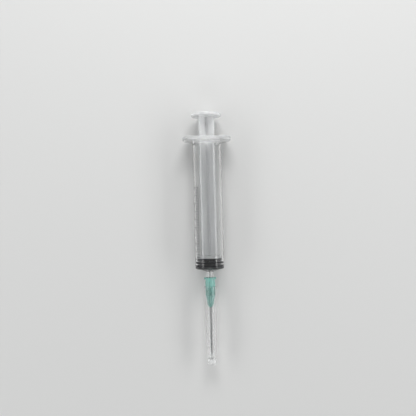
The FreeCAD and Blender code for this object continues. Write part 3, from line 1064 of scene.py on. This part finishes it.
def makeCap(size):
    return spinOutline("cap_moulding", capRear, [
        (size["cavityEnd"], 0),
        (size["cavityEnd"], size["cavityTip"], size["cavityRounding"]),
        (size["gripLength"], size["gripRadius"], size["gripRounding"]),
        (0, size["gripRadius"], size["mouthEdge"]),
        (0, size["rimRadius"], size["rimRearEdge"]),
        (size["rimLength"], size["rimRadius"], size["rimFrontEdge"]),
        (size["rimLength"], size["bodyRadius"], size["rimFootRounding"]),
        (size["length"], size["tipRadius"], size["tipRounding"]),
        (size["length"], 0),
    ], steps=size["roundSteps"], arcSteps=size["arcSteps"])


handOver(makeCap(cap), "cap", "needle_cap", capPlastic)
print("pieces ready")


# Floor, lights and camera

studio = {
    "floorLow": (0.7092, 0.7092, 0.69935),
    "floorHigh": (0.72, 0.72, 0.71),
    "floorGrain": (900, 900, 900),
    "floorRough": 0.85,
    "floorSize": 8.0,
    "farFloor": (0.25, 0.8, 0, 1),  # between these distances the backdrop takes over from the floor
    "backdropColour": (0.68, 0.68, 0.675),
    "skyLow": (0.66, 0.67, 0.68),
    "skyHigh": (0.24, 0.245, 0.25),
    "skyFade": (0.1, 0.6, 0, 1),  # between these heights, on a sky of radius 1, it darkens
    "lamps": [
        # name, place, aim, width, length, watts
        ("leftBox", (0.0, -0.5, 0.33), (-0.01, 0, 0.01), 0.16, 0.9, 1.0),
        ("rightBox", (-0.02, 0.53, 0.33), (-0.01, 0, 0.01), 0.18, 0.9, 1.4),
        ("headBox", (-0.5, 0.03, 0.4), (-0.02, 0, 0.01), 0.25, 0.4, 2.2),
        ("footBox", (0.5, -0.05, 0.42), (0.0, 0, 0.01), 0.2, 0.4, 0.6),
    ],
}


# Paper near the syringe. Far from it the lamps fall off, so there a plain backdrop shows instead.
def makeFloor(look):
    pick(None)
    bpy.ops.mesh.primitive_plane_add(size=look["floorSize"], location=(0, 0, 0))
    floor = bpy.context.object
    floor.name = "studio_floor"
    material, tree, shader = newMaterial("floorPaper")
    grain = addNoise(tree, look["floorGrain"])
    colour = mixColours(tree, grain.outputs["Fac"], look["floorLow"], look["floorHigh"])
    tree.links.new(colour, shader.inputs["Base Color"])
    shader.inputs["Roughness"].default_value = look["floorRough"]
    place = tree.nodes.new("ShaderNodeTexCoord")
    distance = tree.nodes.new("ShaderNodeVectorMath")
    distance.operation = "LENGTH"
    tree.links.new(place.outputs["Object"], distance.inputs[0])
    far = fadeBetween(tree, distance.outputs["Value"], look["farFloor"])
    ray = tree.nodes.new("ShaderNodeLightPath")
    seen = reckon(tree, "ADD", ray.outputs["Is Camera Ray"], ray.outputs["Is Glossy Ray"])
    seen = reckon(tree, "ADD", seen, ray.outputs["Is Transmission Ray"])
    share = reckon(tree, "MULTIPLY", far, seen)
    backdrop = tree.nodes.new("ShaderNodeEmission")
    backdrop.inputs["Color"].default_value = look["backdropColour"] + (1,)
    mix = tree.nodes.new("ShaderNodeMixShader")
    tree.links.new(share, mix.inputs[0])
    tree.links.new(shader.outputs["BSDF"], mix.inputs[1])
    tree.links.new(backdrop.outputs["Emission"], mix.inputs[2])
    tree.links.new(mix.outputs["Shader"], tree.nodes["Material Output"].inputs["Surface"])
    floor.data.materials.append(material)


def makeLamps(look):
    for name, place, aim, width, length, watts in look["lamps"]:
        bpy.ops.object.light_add(type="AREA", location=place)
        lamp = bpy.context.object
        lamp.name = name
        lamp.data.shape = "RECTANGLE"
        lamp.data.size = length
        lamp.data.size_y = width
        lamp.data.energy = watts
        toward = Vector(aim) - Vector(place)
        lamp.rotation_euler = toward.to_track_quat("-Z", "Y").to_euler()


# A sky that is bright low down and dim overhead, so that clear edges and black rubber both read
def makeWorld(look):
    world = bpy.data.worlds.new("studioWorld")
    bpy.context.scene.world = world
    world.use_nodes = True
    tree = world.node_tree
    place = tree.nodes.new("ShaderNodeTexCoord")
    parts = tree.nodes.new("ShaderNodeSeparateXYZ")
    tree.links.new(place.outputs["Generated"], parts.inputs["Vector"])
    overhead = fadeBetween(tree, parts.outputs["Z"], look["skyFade"])
    sky = mixColours(tree, overhead, look["skyLow"], look["skyHigh"])
    ray = tree.nodes.new("ShaderNodeLightPath")
    seen = mixColours(tree, ray.outputs["Is Camera Ray"], sky, look["backdropColour"])
    tree.links.new(seen, tree.nodes["Background"].inputs["Color"])


# The camera stands over the syringe and looks almost straight down, with the needle to the bottom.
camera = {
    "height": 0.390,
    "standX": -0.0086,
    "aim": (-0.0194, -0.0002),
    "fieldDegrees": 37.4,
    "rollDegrees": 1.44,
    "nearClip": 0.01,
}


def makeCamera(view):
    place = Vector((view["standX"], 0, axisHeight + view["height"]))
    aim = Vector((*view["aim"], axisHeight))
    forward = (aim - place).normalized()
    roll = math.radians(view["rollDegrees"])
    roughUp = Vector((-math.cos(roll), math.sin(roll), 0))
    right = forward.cross(roughUp).normalized()
    up = right.cross(forward)
    bpy.ops.object.camera_add(location=place)
    lens = bpy.context.object
    lens.data.angle = math.radians(view["fieldDegrees"])
    lens.data.clip_start = view["nearClip"]
    frameTurn = Matrix((right, up, -forward)).transposed()
    lens.rotation_euler = frameTurn.to_euler()
    bpy.context.scene.camera = lens


pick(None)
makeFloor(studio)
makeLamps(studio)
makeWorld(studio)
makeCamera(camera)
bpy.context.scene.view_settings.view_transform = "Standard"
# Light crosses up to a dozen clear walls on its way through the syringe.
cycles = bpy.context.scene.cycles
cycles.max_bounces = 28
cycles.transmission_bounces = 28
cycles.glossy_bounces = 12
cycles.diffuse_bounces = 10
print("studio ready")
